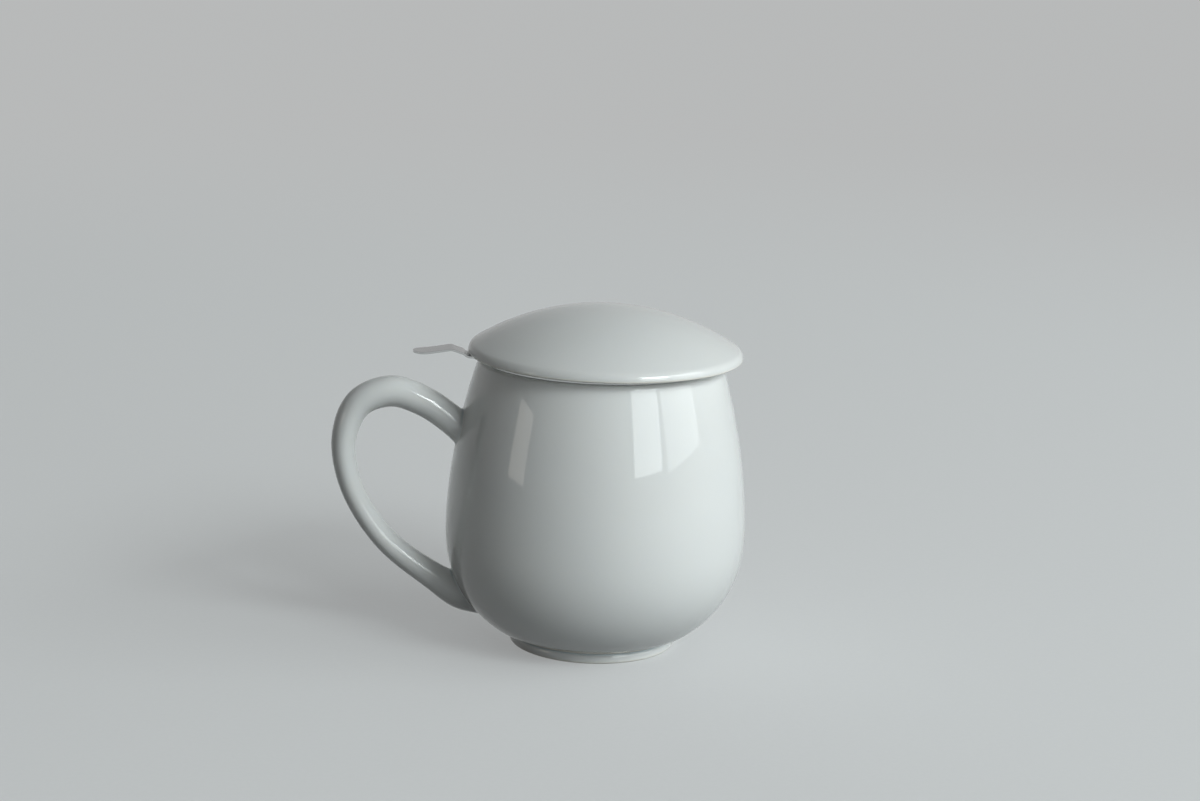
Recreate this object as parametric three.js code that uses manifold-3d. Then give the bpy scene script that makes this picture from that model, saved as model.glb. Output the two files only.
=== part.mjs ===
// A tea mug with a steel infuser and a domed lid, in millimetres, with +Z up and the table at z = 0.
//
// The mug is slip-cast porcelain: a round-bellied body on a foot ring, with an ear-shaped handle luted to its
// side. The infuser is a basket of sheet steel that hangs in the mouth by its flat rim, and its thumb tab
// lies over the handle. The lid is one porcelain casting that rests on the infuser's rim, held from sliding
// by a ring under it.

import * as THREE from 'three';
import { mergeVertices } from 'three/addons/utils/BufferGeometryUtils.js';
import Module from 'manifold-3d';

const wasm = await Module();
wasm.setup();

// Mug body. A power of 2 makes a bowl an ellipse, and a higher one makes it squarer.
const bodyRadius = 44; // outside, at the widest circle
const widestHeight = 35;
const rimHeight = 84.8;
const rimRadius = 35.4; // of the outer wall, carried straight on to the rim's height
const shoulderPower = 1.8; // the higher, the later the wall turns in
const bowlTail = 2; // how far below the table the bowl's curve would close
const bowlPower = 2.3;
const hollowPower = 2.8;
const mugWall = 3.6;
const mugFloor = 4.2;
const footRadius = 24.3;
const footHeight = 3.4; // up to the middle of the bead round its top
const footBead = 0.4; // radius of that bead
const bellyHeight = 4.7; // where the flat underside over the foot turns up into the bowl
const footWidth = 3.8;
const footRecess = 2.2;
const footEdge = 0.6; // rounding of the ring that touches the table

// Handle. Each station on its centre line is shares of the handle's reach out from the widest circle, of the
// rim's height, of the handle's thickness in its own plane, and of its breadth across that plane.
const handleReach = 33.9;
const handleThickness = 9.7;
const handleBreadth = 10;
const handleRootGap = 0.3;
const handleStationShares = [
  [-0.229, 0.71, 0.93, 1.05],
  [-0.037, 0.779, 0.89, 1.0],
  [0.21, 0.845, 0.9, 1.0],
  [0.487, 0.879, 0.93, 1.0],
  [0.759, 0.837, 0.86, 0.97],
  [0.886, 0.713, 0.74, 0.92],
  [0.814, 0.541, 0.68, 0.87],
  [0.522, 0.358, 0.71, 0.86],
  [0.071, 0.218, 0.85, 0.93],
  [-0.136, 0.172, 1.07, 1.04],
  [-0.368, 0.15, 1.11, 1.04],
];

// Infuser, from its flat rim down
const seatGap = 0.3; // between faces that rest on each other
const sheet = 0.5; // thickness of the neck band, the filter and the base ring
const weldGap = 0.15; // between sheets lapped inside each other
const rimPlate = 0.6; // thickness of the rim and the tab, stamped from one plate
const rimFlange = 4.53; // how far the rim reaches out past the neck band
const mouthClearance = 1.3; // round the neck band, inside the mug's lip
const basketClearance = 18.2; // under the basket, above the mug's floor
const basketTaper = 2; // how much smaller the filter's radius is at the bottom
const bandLap = 3.5; // how far the neck band covers the filter
const filterClearance = 1; // between the filter's top edge and the ring under the lid
const baseRingHeight = 3;
const baseRingLip = 4; // how far it reaches in under the base

// Filter holes
const holeRadius = 1.8;
const holesPerFacet = 5;
const filterMargin = 3.2; // from the outermost holes' centres to the band and the base ring
const baseHolePitch = 6.4;

// Thumb tab, whose bends are shares of its length past the rim and of its rise above it
const tabWidth = 7.5;
const tabLength = 19;
const tabRise = 2.2;
const tabRoot = 2.5; // how far its root reaches back into the rim
const tabBendShares = [
  [0, 0], [0.15, 0.08], [0.24, 0.5], [0.34, 0.8], [0.43, 1],
  [0.56, 0.84], [0.71, 0.64], [0.87, 0.51], [1, 0.52],
];

// Lid
const lidOverhang = 4.4; // how far its edge reaches out past the infuser's rim
const lidHeight = 14.4; // from its flat underside to its top
const domeRadius = 72; // of the sphere that its top is part of
const lidShoulder = 3; // rounding between the dome and the edge
const lidEdge = 0.7; // rounding under the edge
const lidWall = 4;
const locatingHeight = 4.5; // of the ring under the lid
const locatingWidth = 2.5;
const lidPlay = 1.7; // between that ring and the neck band
const slideGap = 0.4; // what is left of the play on the side that the lid is pushed to

const potterySides = 40;
const steelSides = 36;
const holeSides = 6;

// What the sizes above give
const steps = (count) => Array.from({ length: count + 1 }, (_, i) => i / count);
const footInnerRadius = footRadius - footWidth;
const floorHeight = footRecess + mugFloor;
const lipRadius = mugWall / 2;
const lipLean = Math.atan(shoulderPower * (bodyRadius - rimRadius) / (rimHeight - widestHeight));
const lipCentre = [
  rimRadius + lipRadius * (Math.tan(lipLean) - 1 / Math.cos(lipLean)),
  rimHeight - lipRadius,
];
const bandRadius = lipCentre[0] - lipRadius - mouthClearance;
const bandInnerRadius = bandRadius - sheet;
const rimPlateRadius = bandRadius + rimFlange;
const lidRadius = rimPlateRadius + lidOverhang;
const basketDepth = rimHeight + seatGap - floorHeight - basketClearance;
const lidSeat = rimPlate + seatGap; // above the infuser's own zero, the underside of its rim
const filterTop = lidSeat - locatingHeight - filterClearance;
const filterTopRadius = bandInnerRadius - weldGap;
const filterBottom = sheet + weldGap - basketDepth;
const filterHeight = filterTop - filterBottom;
const bandBottom = filterTop - bandLap;

// Solids from profiles

// Points of an arc from one angle to another, from +R towards +Z.
function arc([centreR, centreZ], radius, from, to, count) {
  return steps(count).map((share) => {
    const angle = from + (to - from) * share;
    return [centreR + radius * Math.cos(angle), centreZ + radius * Math.sin(angle)];
  });
}

// A profile of [radius, height] points turned about Z. It runs out along the underside and back over the top.
function revolve(profile, sides) {
  const points = profile.map(([radius, height]) => new THREE.Vector2(radius, height));
  return new THREE.LatheGeometry(points, sides).rotateX(Math.PI / 2);
}

// A closed solid through rings of equally many points, capped at both ends.
function loft(rings) {
  const count = rings[0].length;
  const positions = rings.flat().flatMap((point) => point.toArray());
  const index = [];
  for (let ring = 0; ring < rings.length - 1; ring += 1) {
    for (let side = 0; side < count; side += 1) {
      const a = ring * count + side;
      const b = ring * count + (side + 1) % count;
      index.push(a, b, b + count, a, b + count, a + count);
    }
  }
  const last = (rings.length - 1) * count;
  for (let side = 1; side < count - 1; side += 1) {
    index.push(0, side + 1, side, last, last + side, last + side + 1);
  }
  const geometry = new THREE.BufferGeometry();
  geometry.setAttribute('position', new THREE.Float32BufferAttribute(positions, 3));
  geometry.setIndex(index);
  return geometry;
}

// Joins and cuts of closed meshes
function toSolid(geometry) {
  const bare = geometry.clone();
  bare.deleteAttribute('normal');
  bare.deleteAttribute('uv');
  const merged = mergeVertices(bare);
  return new wasm.Manifold(new wasm.Mesh({
    numProp: 3,
    vertProperties: new Float32Array(merged.attributes.position.array),
    triVerts: new Uint32Array(merged.index.array),
  }));
}

function toGeometry(solid) {
  const { vertProperties, triVerts } = solid.getMesh();
  const geometry = new THREE.BufferGeometry();
  geometry.setAttribute('position', new THREE.BufferAttribute(vertProperties, 3));
  geometry.setIndex(new THREE.BufferAttribute(triVerts, 1));
  return geometry;
}

const join = (first, second) => toGeometry(toSolid(first).add(toSolid(second)));
const subtract = (body, tool) => toGeometry(toSolid(body).subtract(toSolid(tool)));

// Mug body

// The lower half of a superellipse, from the given height up to the widest circle.
function bowl(radius, depth, power, lowest, count) {
  const start = Math.asin(((widestHeight - lowest) / depth) ** (power / 2));
  return steps(count).map((share) => {
    const turn = start * (1 - share);
    return [radius * Math.cos(turn) ** (2 / power), widestHeight - depth * Math.sin(turn) ** (2 / power)];
  });
}

// The wall above the widest circle, which turns in towards the rim.
function shoulder(widest, atRim, top, count) {
  return steps(count).slice(1).map((share) => {
    const rise = (top - widestHeight) * share;
    const turnedIn = (rise / (rimHeight - widestHeight)) ** shoulderPower;
    return [widest - (widest - atRim) * turnedIn, widestHeight + rise];
  });
}

// The outer wall, from over the foot to where the lip starts to round over, moved outwards by a gap.
function outerWall(gap) {
  return [
    ...bowl(bodyRadius + gap, widestHeight + bowlTail + gap, bowlPower, bellyHeight, 9),
    ...shoulder(bodyRadius + gap, rimRadius + gap, lipCentre[1] + lipRadius * Math.sin(lipLean), 9),
  ];
}

function mugBody() {
  const hollowRadius = bodyRadius - mugWall;
  const mouthRadius = rimRadius - mugWall / Math.cos(lipLean);
  const hollow = [
    ...bowl(hollowRadius, widestHeight - floorHeight, hollowPower, floorHeight, 8).slice(1),
    ...shoulder(hollowRadius, mouthRadius, lipCentre[1] - lipRadius * Math.sin(lipLean), 6).slice(0, -1),
  ];
  return revolve([
    [0, footRecess],
    [footInnerRadius, footRecess],
    [footInnerRadius, footEdge],
    [footInnerRadius + footEdge, 0],
    ...arc([footRadius - footEdge, footEdge], footEdge, -Math.PI / 2, 0, 2),
    ...arc([footRadius, footHeight], footBead, -Math.PI / 2, Math.PI / 3, 3),
    ...outerWall(0),
    ...arc(lipCentre, lipRadius, lipLean, Math.PI + lipLean, 6).slice(1),
    ...hollow.reverse(),
    [0, floorHeight],
  ], potterySides);
}

// Handle: an oval section swept along the centre line in the XZ plane, on the -X side. Its two roots are cut
// to the body's wall, which the slip joins them to.
function mugHandle() {
  const stations = handleStationShares.map(([out, up, thick, broad]) => ({
    centre: new THREE.Vector3(-bodyRadius - out * handleReach, 0, up * rimHeight),
    section: new THREE.Vector3(thick * handleThickness / 2, broad * handleBreadth / 2, 0),
  }));
  const centreLine = new THREE.CatmullRomCurve3(stations.map(({ centre }) => centre));
  const sections = new THREE.CatmullRomCurve3(stations.map(({ section }) => section), false, 'catmullrom');
  const across = new THREE.Vector3(0, 1, 0);
  const rings = steps(30).map((share) => {
    const centre = centreLine.getPoint(share);
    const inPlane = across.clone().cross(centreLine.getTangent(share));
    const { x: halfThickness, y: halfBreadth } = sections.getPoint(share);
    return steps(14).slice(1).map((turn) => centre.clone()
      .addScaledVector(inPlane, halfThickness * Math.cos(2 * Math.PI * turn))
      .addScaledVector(across, halfBreadth * Math.sin(2 * Math.PI * turn)));
  });
  const wall = outerWall(handleRootGap);
  return subtract(loft(rings), revolve([[0, bellyHeight], ...wall, [0, wall.at(-1)[1]]], potterySides));
}

// Infuser. Its own zero is the underside of its rim, on the axis.

// Outer radius of the filter wall, which narrows evenly to its bottom edge.
const filterRadius = (height) => filterTopRadius - basketTaper * (filterTop - height) / filterHeight;

// A flat ring with the thumb tab in one piece. The tab dips out from under the lid's edge, rises in front of
// it and falls away to a tip that turns up.
function infuserRim() {
  const ring = revolve([
    [bandInnerRadius, 0], [rimPlateRadius, 0], [rimPlateRadius, rimPlate], [bandInnerRadius, rimPlate],
    [bandInnerRadius, 0],
  ], steelSides);
  const bends = tabBendShares.map(([along, up]) => (
    new THREE.Vector3(-rimPlateRadius - along * tabLength, 0, rimPlate / 2 + up * tabRise)));
  const bent = new THREE.CatmullRomCurve3(bends);
  const tipLength = tabWidth / 2;
  const end = -rimPlateRadius - tabLength;
  const across = new THREE.Vector3(0, 1, 0);
  const section = (centre, normal) => {
    const toTip = THREE.MathUtils.clamp((centre.x - end) / tipLength, 0, 1);
    const halfWidth = tipLength * Math.max(Math.sqrt(1 - (1 - toTip) ** 2), rimPlate / tabWidth);
    return [[1, 1], [-1, 1], [-1, -1], [1, -1]].map(([face, side]) => centre.clone()
      .addScaledVector(across, side * halfWidth)
      .addScaledVector(normal, face * rimPlate / 2));
  };
  const root = bends[0].clone().setX(tabRoot - rimPlateRadius);
  const up = new THREE.Vector3(0, 0, 1);
  const rings = [section(root, up), ...steps(20).map((share) => {
    const square = share === 0 ? up : across.clone().cross(bent.getTangent(share));
    return section(bent.getPoint(share), square);
  })];
  return join(ring, loft(rings));
}

// A plain strip rolled round and welded under the rim. It stiffens the mouth and holds the filter's top edge.
function neckBand() {
  return revolve([
    [bandInnerRadius, bandBottom], [bandRadius, bandBottom], [bandRadius, 0], [bandInnerRadius, 0],
    [bandInnerRadius, bandBottom],
  ], steelSides);
}

// The corners of one hole, round its centre on a flat sheet.
const hole = (x, y) => steps(holeSides).slice(1).map((turn) => (
  new THREE.Vector2(holeRadius * Math.cos(2 * Math.PI * turn), holeRadius * Math.sin(2 * Math.PI * turn))
    .add(new THREE.Vector2(x, y))));

// The filter's wall: flats that meet at straight edges, each with one column of holes, staggered from one
// column to the next. The wall's inside is drawn in by the sheet's thickness, holes and all.
function filterWall() {
  const lowest = filterBottom + baseRingHeight + filterMargin;
  const pitch = (bandBottom - filterMargin - lowest) / (holesPerFacet - 1 / 2);
  const halfFlat = Math.PI / steelSides; // the angle from a flat's middle to its edge
  const positions = [];
  for (let column = 0; column < steelSides; column += 1) {
    const corner = (side, height) => (
      new THREE.Vector2(side * filterRadius(height) * Math.sin(halfFlat), height));
    const outline = [
      corner(-1, filterBottom), corner(1, filterBottom), corner(1, filterTop), corner(-1, filterTop),
    ];
    const stagger = (column % 2) / 2;
    const holes = steps(holesPerFacet).slice(1).map((_, row) => hole(0, lowest + pitch * (row + stagger)));
    const points = [outline, ...holes].flat();
    const middle = halfFlat * (2 * column + 1);
    const place = (index, inside) => {
      const { x: along, y: height } = points[index];
      const inner = 1 - inside * sheet / filterRadius(height);
      return new THREE.Vector3(filterRadius(height) * Math.cos(halfFlat) * inner, along * inner, height)
        .applyAxisAngle(new THREE.Vector3(0, 0, 1), middle).toArray();
    };
    const skin = (a, b, c) => {
      positions.push(...place(a, 0), ...place(b, 0), ...place(c, 0));
      positions.push(...place(a, 1), ...place(c, 1), ...place(b, 1));
    };
    const edge = (a, b) => {
      positions.push(...place(a, 0), ...place(a, 1), ...place(b, 1));
      positions.push(...place(a, 0), ...place(b, 1), ...place(b, 0));
    };
    THREE.ShapeUtils.triangulateShape(outline, holes).forEach(([a, b, c]) => skin(a, b, c));
    edge(0, 1);
    edge(2, 3);
    holes.forEach((corners, row) => corners.forEach((_, side) => {
      const first = outline.length + row * holeSides;
      edge(first + (side + 1) % holeSides, first + side);
    }));
  }
  const wall = new THREE.BufferGeometry();
  wall.setAttribute('position', new THREE.Float32BufferAttribute(positions, 3));
  return mergeVertices(wall);
}

// The channel that closes the basket's lower edge: it wraps the wall outside and carries the base on its lip.
function baseRing() {
  const bottom = -basketDepth;
  const top = bottom + baseRingHeight;
  const inner = (height) => filterRadius(height) + weldGap;
  const lipInner = inner(bottom) - baseRingLip;
  return revolve([
    [lipInner, bottom],
    ...arc([inner(bottom), bottom + sheet], sheet, -Math.PI / 2, 0, 3),
    [inner(top) + sheet, top],
    [inner(top), top],
    [inner(bottom + sheet), bottom + sheet],
    [lipInner, bottom + sheet],
    [lipInner, bottom],
  ], steelSides);
}

// A perforated disc inside the wall's lower edge, with its holes in a honeycomb pattern.
function filterBase() {
  const radius = filterRadius(filterBottom) - sheet - weldGap;
  const disc = new THREE.Shape(steps(steelSides).slice(1).map((turn) => (
    new THREE.Vector2(radius * Math.cos(2 * Math.PI * turn), radius * Math.sin(2 * Math.PI * turn)))));
  const reach = filterRadius(filterBottom) - baseRingLip - holeRadius;
  const rows = Math.floor(reach / baseHolePitch) + 1;
  for (let row = -rows; row <= rows; row += 1) {
    for (let place = -2 * rows; place <= 2 * rows; place += 1) {
      const centre = new THREE.Vector2(place + row / 2, row * Math.sin(Math.PI / 3));
      centre.multiplyScalar(baseHolePitch);
      if (centre.length() < reach) {
        disc.holes.push(new THREE.Path(hole(centre.x, centre.y)));
      }
    }
  }
  return new THREE.ExtrudeGeometry(disc, { depth: sheet, bevelEnabled: false }).translate(0, 0, filterBottom);
}

// Lid. Its own zero is its flat underside, on the axis.
function lidCasting() {
  const domeCentre = lidHeight - domeRadius;
  const shoulderR = lidRadius - lidShoulder;
  const shoulderZ = domeCentre + Math.sqrt((domeRadius - lidShoulder) ** 2 - shoulderR ** 2);
  const domeStart = Math.atan2(shoulderZ - domeCentre, shoulderR);
  const locatingRadius = bandInnerRadius - lidPlay;
  const hollowRadius = locatingRadius - locatingWidth;
  const underDome = domeRadius - lidWall;
  const hollowEnd = Math.acos(hollowRadius / underDome);
  return revolve([
    [0, domeCentre + underDome],
    ...arc([0, domeCentre], underDome, Math.PI / 2, hollowEnd, 4).slice(1),
    ...arc([locatingRadius - locatingWidth / 2, locatingWidth / 2 - locatingHeight], locatingWidth / 2,
      -Math.PI, 0, 4),
    [locatingRadius, 0],
    ...arc([lidRadius - lidEdge, lidEdge], lidEdge, -Math.PI / 2, 0, 3),
    ...arc([shoulderR, shoulderZ], lidShoulder, 0, domeStart, 4),
    ...arc([0, domeCentre], domeRadius, domeStart, Math.PI / 2, 8).slice(1, -1),
    [0, lidHeight],
  ], potterySides);
}

// The assembled mug
const porcelain = { color: 0xf0f0ee, roughness: 0.12, metalness: 0 };
const steel = { color: 0xc6c9cc, roughness: 0.2, metalness: 1 };

function piece(name, geometry, finish) {
  const mesh = new THREE.Mesh(geometry, new THREE.MeshStandardMaterial(finish));
  mesh.name = name;
  return mesh;
}

const infuser = new THREE.Group();
infuser.add(
  piece('infuser_rim', infuserRim(), steel),
  piece('infuser_neck_band', neckBand(), steel),
  piece('infuser_filter_wall', filterWall(), steel),
  piece('infuser_base_ring', baseRing(), steel),
  piece('infuser_filter_base', filterBase(), steel),
);
infuser.position.z = rimHeight + seatGap;

const lid = piece('lid', lidCasting(), porcelain);
lid.position.set(lidPlay - slideGap, 0, infuser.position.z + lidSeat);

const teaMug = new THREE.Group();
teaMug.add(
  piece('mug_body', mugBody(), porcelain),
  piece('mug_handle', mugHandle(), porcelain),
  infuser,
  lid,
);

// The origin is on the table, under the middle of the mug from the handle's outer face to the body's far
// side.
const outline = new THREE.Box3().setFromObject(teaMug);
teaMug.position.x = -(outline.min.x + outline.max.x) / 2;

export default teaMug;
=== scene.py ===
import math

import bpy
import numpy as np
from mathutils import Matrix, Vector
from mathutils.geometry import delaunay_2d_cdt


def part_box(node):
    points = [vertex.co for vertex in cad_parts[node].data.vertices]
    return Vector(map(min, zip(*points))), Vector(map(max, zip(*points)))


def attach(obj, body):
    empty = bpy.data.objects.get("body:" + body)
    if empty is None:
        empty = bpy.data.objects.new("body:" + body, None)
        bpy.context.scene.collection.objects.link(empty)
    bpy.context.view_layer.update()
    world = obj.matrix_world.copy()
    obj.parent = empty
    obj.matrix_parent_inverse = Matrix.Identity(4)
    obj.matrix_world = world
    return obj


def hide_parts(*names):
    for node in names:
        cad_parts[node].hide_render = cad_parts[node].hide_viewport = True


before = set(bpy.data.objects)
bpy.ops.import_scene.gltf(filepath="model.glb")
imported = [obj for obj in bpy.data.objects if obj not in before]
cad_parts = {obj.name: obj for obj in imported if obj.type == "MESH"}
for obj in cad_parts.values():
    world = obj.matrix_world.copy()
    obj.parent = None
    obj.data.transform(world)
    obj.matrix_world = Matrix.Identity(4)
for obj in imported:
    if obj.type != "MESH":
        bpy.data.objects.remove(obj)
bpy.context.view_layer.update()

# A lidded tea mug with a steel infuser. Lengths are in metres, and heights are above the table. The sections follow
# the mug as it is put together: body, handle, infuser from its rim down, lid, then the table and the light.

# Mug body: slip-cast porcelain, fired bare, dipped in clear glaze and fired again. The wall runs in one sweep from a
# rounded lip to a low foot ring with a fine bead over it, and the ring's flat face is wiped clean of glaze.
mm = 0.001
body_low, body_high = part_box("mug_body")
body_axis = (body_low.x + body_high.x) / 2
body_radius = (body_high.x - body_low.x) / 2
widest_height = 35 * mm
rim_height = 84.8 * mm
rim_radius = 35.4 * mm
shoulder_power = 1.8
bowl_depth = 37 * mm
bowl_power = 2.3
bowl_start = 5.0 * mm
wall = 3.6 * mm
hollow_floor = 6.4 * mm
hollow_power = 2.8
foot_radius = 24.3 * mm
foot_inner_radius = 20.5 * mm
foot_recess = 2.2 * mm
foot_edge = 0.6 * mm
bead_radius = 0.4 * mm
bead_height = 3.45 * mm
groove_top = 4.25 * mm
under_bend = 1.6 * mm
crease = 0.3 * mm


def arc(centre, radius, start, end, count=8):
    """Points of (radius, height) along an arc, with angles in degrees turning from outwards to upwards."""
    turns = np.radians(np.linspace(start, end, count + 1))
    return [(centre[0] + radius * math.cos(turn), centre[1] + radius * math.sin(turn)) for turn in turns]


def bend(start, corner, end, count=8):
    """Points of a curve that leaves start towards corner and comes to end from it."""
    start, corner, end = (np.array(point) for point in (start, corner, end))
    shares = np.linspace(0, 1, count + 1)
    return [tuple(start * (1 - t) ** 2 + corner * 2 * t * (1 - t) + end * t ** 2) for t in shares]


def bowl(radius, depth, power, lowest, count=44):
    """The lower half of a superellipse, from the height lowest up to the widest circle."""
    first = math.asin(((widest_height - lowest) / depth) ** (power / 2))
    turns = first * np.linspace(1, 0, count + 1)
    return [(radius * math.cos(turn) ** (2 / power), widest_height - depth * math.sin(turn) ** (2 / power))
            for turn in turns]


def shoulder(widest, at_rim, top, count=44):
    """The wall above the widest circle, which turns in towards the rim."""
    rises = (top - widest_height) * np.linspace(0, 1, count + 1)[1:]
    full_rise = rim_height - widest_height
    return [(widest - (widest - at_rim) * (rise / full_rise) ** shoulder_power, widest_height + rise)
            for rise in rises]


def turned(profile, axis, sides=256):
    """Points and faces of a profile turned about the vertical line at x = axis. The profile runs outwards underneath
    and back over the top, and it closes on itself or starts and ends on the axis."""
    points, rings, faces = [], [], []
    for radius, height in profile:
        count = sides if radius > 1e-6 else 1
        rings.append(range(len(points), len(points) + count))
        for turn in np.linspace(0, 2 * math.pi, count, endpoint=False):
            points.append((axis + radius * math.cos(turn), radius * math.sin(turn), height))
    pairs = list(zip(rings, rings[1:]))
    if len(rings[0]) > 1:
        pairs.append((rings[-1], rings[0]))
    for lower, upper in pairs:
        for side in range(sides):
            after = (side + 1) % sides
            if len(lower) == 1:
                faces.append((lower[0], upper[after], upper[side]))
            elif len(upper) == 1:
                faces.append((lower[side], lower[after], upper[0]))
            else:
                faces.append((lower[side], lower[after], upper[after], upper[side]))
    return points, faces


def piece(name, points, faces, material, sharp_angle=40):
    """An object with smooth faces, whose corners past the sharp angle in degrees stay crisp."""
    mesh = bpy.data.meshes.new(name)
    mesh.from_pydata(points, [], faces)
    mesh.validate()
    mesh.shade_smooth()
    mesh.set_sharp_from_angle(angle=math.radians(sharp_angle))
    mesh.materials.append(material)
    made = bpy.data.objects.new(name, mesh)
    bpy.context.scene.collection.objects.link(made)
    return made


def lay_glaze(glazed, bare_face=-1.0):
    """Stores on each point of a glazed piece how thick the glaze lies, from 0 on sharp edges, where it runs off, to 1
    in creases, where it pools and where the porcelain has shade painted in, and how far the point is above the height
    of the bare face."""
    mesh = glazed.data
    place, normal = np.empty((2, len(mesh.vertices) * 3))
    mesh.vertices.foreach_get("co", place)
    mesh.vertices.foreach_get("normal", normal)
    place, normal = place.reshape(-1, 3), normal.reshape(-1, 3)
    ends = np.empty(len(mesh.edges) * 2, int)
    mesh.edges.foreach_get("vertices", ends)
    ends = ends.reshape(-1, 2)
    step = place[ends[:, 1]] - place[ends[:, 0]]
    square = (step ** 2).sum(1)
    hollow, count = np.zeros((2, len(place)))
    for side, way in ((0, 1), (1, -1)):
        np.add.at(hollow, ends[:, side], way * 2 * (step * normal[ends[:, side]]).sum(1) / square)
        np.add.at(count, ends[:, side], 1)
    hollow /= count
    for _ in range(3):
        spread = hollow.copy()
        for side in (0, 1):
            np.add.at(spread, ends[:, side], hollow[ends[:, 1 - side]])
        hollow = spread / (count + 1)
    run = 0.5 * mm
    for field, values in (("glaze", np.clip(0.5 + run * hollow, 0, 1)), ("above_bare_face", place[:, 2] - bare_face)):
        mesh.attributes.new(field, "FLOAT", "POINT").data.foreach_set("value", values)


def paint(code):
    """An sRGB hex colour as the linear values that shaders take."""
    shares = [int(code[place:place + 2], 16) / 255 for place in (1, 3, 5)]
    return (*[share / 12.92 if share <= 0.04045 else ((share + 0.055) / 1.055) ** 2.4 for share in shares], 1)


def new_material(name):
    """An empty material with nodes."""
    material = bpy.data.materials.new(name)
    material.use_nodes = True
    material.node_tree.nodes.clear()
    return material


def node(material, kind, sockets=None, **settings):
    """Adds a node with its settings, and fills its sockets with values or with other nodes' outputs."""
    made = material.node_tree.nodes.new("ShaderNode" + kind)
    for name, value in settings.items():
        setattr(made, name, value)
    for socket, value in (sockets or {}).items():
        if isinstance(value, bpy.types.NodeSocket):
            material.node_tree.links.new(value, made.inputs[socket])
        else:
            made.inputs[socket].default_value = value
    return made


# Glazed porcelain: a vitrified white body under a clear fired glaze of refractive index 1.55. It is glossy and even,
# with a faint ripple in its reflections. Its creases turn a darker, cool grey, which is partly glaze pooling there
# and partly painted shade, and it is warmer where the glaze thins over an edge.
glaze_white = paint("#eeefed")
glaze_second_white = paint("#e9ebeb")
# A darker cool grey for creases: the tint of pooled glaze together with painted crease shade.
pooled_glaze_and_crease_shade = paint("#d9e1e3")
thin_glaze = paint("#f1eee6")
bare_porcelain = paint("#e4ddd0")
iron_speck = paint("#8d7a66")
glaze_ripple = 16 * mm
glaze_pore = 1.4 * mm
bisque_grain = 0.35 * mm
speck_spacing = 9 * mm
speck_size = 0.16 * mm
porcelain = new_material("glazed porcelain")
here = node(porcelain, "TexCoord").outputs["Object"]
drift = node(porcelain, "TexNoise", {"Vector": here, "Scale": 1 / (30 * mm), "Detail": 2})
ripple = node(porcelain, "TexNoise", {"Vector": here, "Scale": 1 / glaze_ripple, "Detail": 1})
pores = node(porcelain, "TexNoise", {"Vector": here, "Scale": 1 / glaze_pore, "Detail": 2})
grain = node(porcelain, "TexNoise", {"Vector": here, "Scale": 1 / bisque_grain, "Detail": 3})
specks = node(porcelain, "TexVoronoi", {"Vector": here, "Scale": 1 / speck_spacing})
glaze_depth_and_crease_shade = node(porcelain, "Attribute", attribute_name="glaze").outputs["Fac"]
bare_height = node(porcelain, "Attribute", attribute_name="above_bare_face").outputs["Fac"]
whites = node(porcelain, "Mix", {"Factor": drift.outputs["Fac"], 6: glaze_white, 7: glaze_second_white},
              data_type="RGBA")
# Painted shade, partly glaze pooling: the deeper a crease, the more it turns the darker cool grey.
pool_and_shade_share = node(porcelain, "MapRange", {"Value": glaze_depth_and_crease_shade, 1: 0.54, 2: 0.85})
with_pools_and_crease_shade = node(porcelain, "Mix", {"Factor": pool_and_shade_share.outputs[0], 6: whites.outputs[2], 7: pooled_glaze_and_crease_shade},
                  data_type="RGBA")
thinned = node(porcelain, "MapRange", {"Value": glaze_depth_and_crease_shade, 1: 0.42, 2: 0.1})
with_edges = node(porcelain, "Mix", {"Factor": thinned.outputs[0], 6: with_pools_and_crease_shade.outputs[2], 7: thin_glaze},
                  data_type="RGBA")
near_speck = node(porcelain, "MapRange", {"Value": specks.outputs["Distance"], 1: speck_size / speck_spacing, 2: 0.0})
speck_chance = node(porcelain, "SeparateColor", {"Color": specks.outputs["Color"]})
few_specks = node(porcelain, "Math", {0: speck_chance.outputs[0], 1: 0.93}, operation="GREATER_THAN")
speck_mask = node(porcelain, "Math", {0: near_speck.outputs[0], 1: few_specks.outputs[0]}, operation="MULTIPLY")
speckled = node(porcelain, "Mix", {"Factor": speck_mask.outputs[0], 6: with_edges.outputs[2], 7: iron_speck},
                data_type="RGBA")
ragged = node(porcelain, "Math", {0: pores.outputs["Fac"], 1: -0.1 * mm, 2: bare_height}, operation="MULTIPLY_ADD")
bare = node(porcelain, "MapRange", {"Value": ragged.outputs[0], 1: 0.1 * mm, 2: 0.03 * mm})
surface_colour = node(porcelain, "Mix", {"Factor": bare.outputs[0], 6: speckled.outputs[2], 7: bare_porcelain},
                      data_type="RGBA")
gloss = node(porcelain, "MapRange", {"Value": drift.outputs["Fac"], 3: 0.025, 4: 0.05})
surface_roughness = node(porcelain, "Mix", {"Factor": bare.outputs[0], 2: gloss.outputs[0], 3: 0.65})
rippled = node(porcelain, "Bump", {"Height": ripple.outputs["Fac"], "Strength": 1, "Distance": 0.05 * mm})
pored = node(porcelain, "Bump", {"Height": pores.outputs["Fac"], "Strength": 1, "Distance": 0.0015 * mm,
                                 "Normal": rippled.outputs["Normal"]})
grained = node(porcelain, "Bump", {"Height": grain.outputs["Fac"], "Strength": bare.outputs[0],
                                   "Distance": 0.03 * mm, "Normal": pored.outputs["Normal"]})
shell = node(porcelain, "BsdfPrincipled", {
    "Base Color": surface_colour.outputs[2], "Roughness": surface_roughness.outputs[0], "IOR": 1.55,
    "Subsurface Weight": 0.06, "Subsurface Radius": (1, 0.9, 0.75), "Subsurface Scale": 1.2 * mm,
    "Normal": grained.outputs["Normal"]})
node(porcelain, "OutputMaterial", {"Surface": shell.outputs["BSDF"]})

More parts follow.
